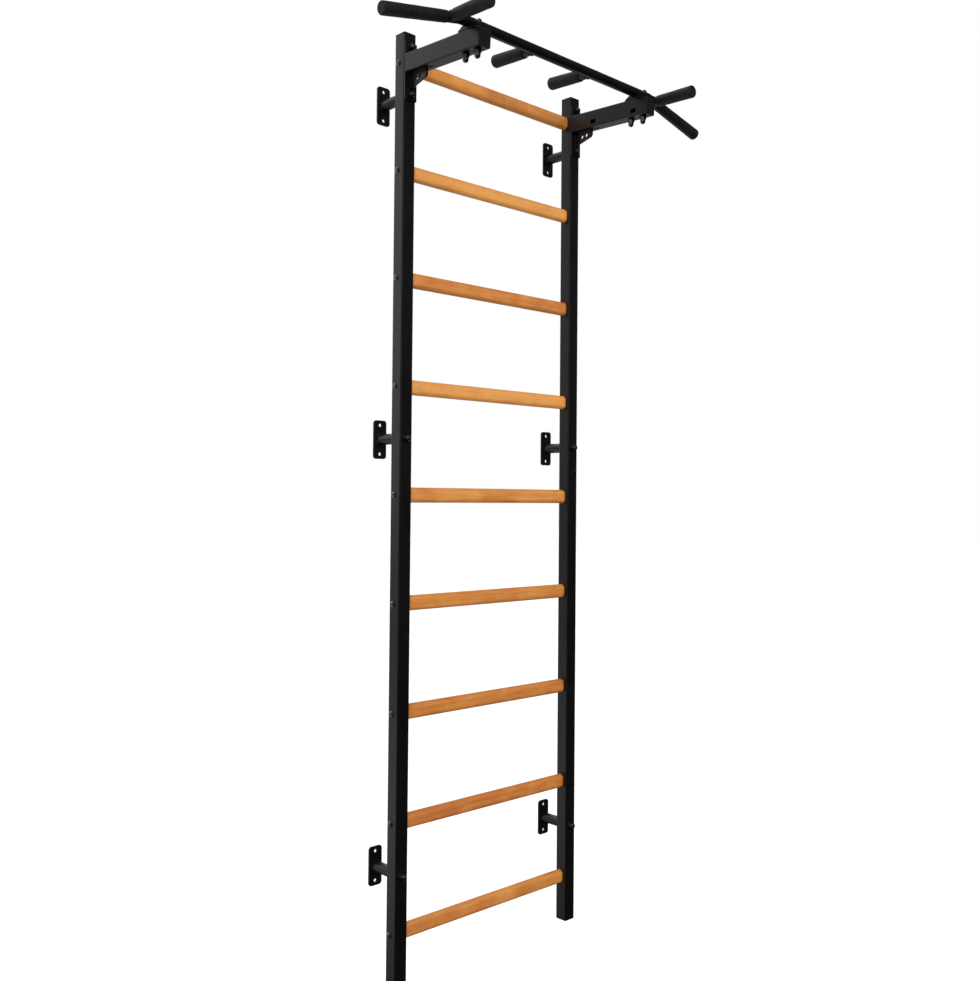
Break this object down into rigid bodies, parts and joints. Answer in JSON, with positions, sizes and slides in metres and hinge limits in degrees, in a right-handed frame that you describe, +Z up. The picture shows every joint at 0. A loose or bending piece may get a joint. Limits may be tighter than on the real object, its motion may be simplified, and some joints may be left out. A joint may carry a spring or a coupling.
{
  "type": "wall bars with pull-up bar",
  "caption": "Wall-mounted gymnastic ladder: square steel uprights, oval wooden rungs, standoff brackets and a bolted pull-up bar with foam grips.",
  "frame": {"origin": "on the wall, at the centre of the four middle wall bolts, half way between the uprights", "axes": "+X along the rungs, to the right as seen from the room; +Y into the wall; +Z up"},
  "size_m": [1.173, 0.4838, 2.4],
  "materials": {
    "powder_coat": "matte black powder coat",
    "black_plastic": "moulded matte black",
    "black_bolt": "black zinc plate, slightly glossy",
    "beech": "lacquered beech, long grain",
    "foam": "matte black closed-cell foam"
  },
  "bodies": {
    "root": {"upright_left": "powder_coat", "upright_right": "powder_coat", "top_cap_left": "black_plastic", "top_cap_right": "black_plastic", "foot_cap_left": "black_plastic", "foot_cap_right": "black_plastic", "rung_1": "beech", "rung_2": "beech", "rung_3": "beech", "rung_4": "beech", "rung_5": "beech", "rung_6": "beech", "rung_7": "beech", "rung_8": "beech", "rung_9": "beech", "rung_screws_left": "black_bolt", "rung_screws_right": "black_bolt", "wall_bracket_low_left": "powder_coat", "wall_bracket_low_right": "powder_coat", "wall_bracket_mid_left": "powder_coat", "wall_bracket_mid_right": "powder_coat", "wall_bracket_top_left": "powder_coat", "wall_bracket_top_right": "powder_coat", "bracket_bolts_left": "black_bolt", "bracket_bolts_right": "black_bolt", "arm_plate_left": "powder_coat", "arm_plate_right": "powder_coat", "arm_tube_left": "powder_coat", "arm_tube_right": "powder_coat", "arm_gusset_left": "powder_coat", "arm_gusset_right": "powder_coat", "arm_cap_left": "black_plastic", "arm_cap_right": "black_plastic", "arm_bolts_left": "black_bolt", "arm_bolts_right": "black_bolt", "bar_saddle_left": "powder_coat", "bar_saddle_right": "powder_coat", "clamp_studs_left": "black_bolt", "clamp_studs_right": "black_bolt", "clamp_nuts_left": "black_bolt", "clamp_nuts_right": "black_bolt", "main_bar": "powder_coat", "wing_tube_left": "powder_coat", "wing_tube_right": "powder_coat", "front_tube_left": "powder_coat", "front_tube_right": "powder_coat", "rear_tube_left": "powder_coat", "rear_tube_right": "powder_coat", "wing_grip_left": "foam", "wing_grip_right": "foam", "front_grip_left": "foam", "front_grip_right": "foam", "rear_grip_left": "foam", "rear_grip_right": "foam"}
  },
  "joints": []
}
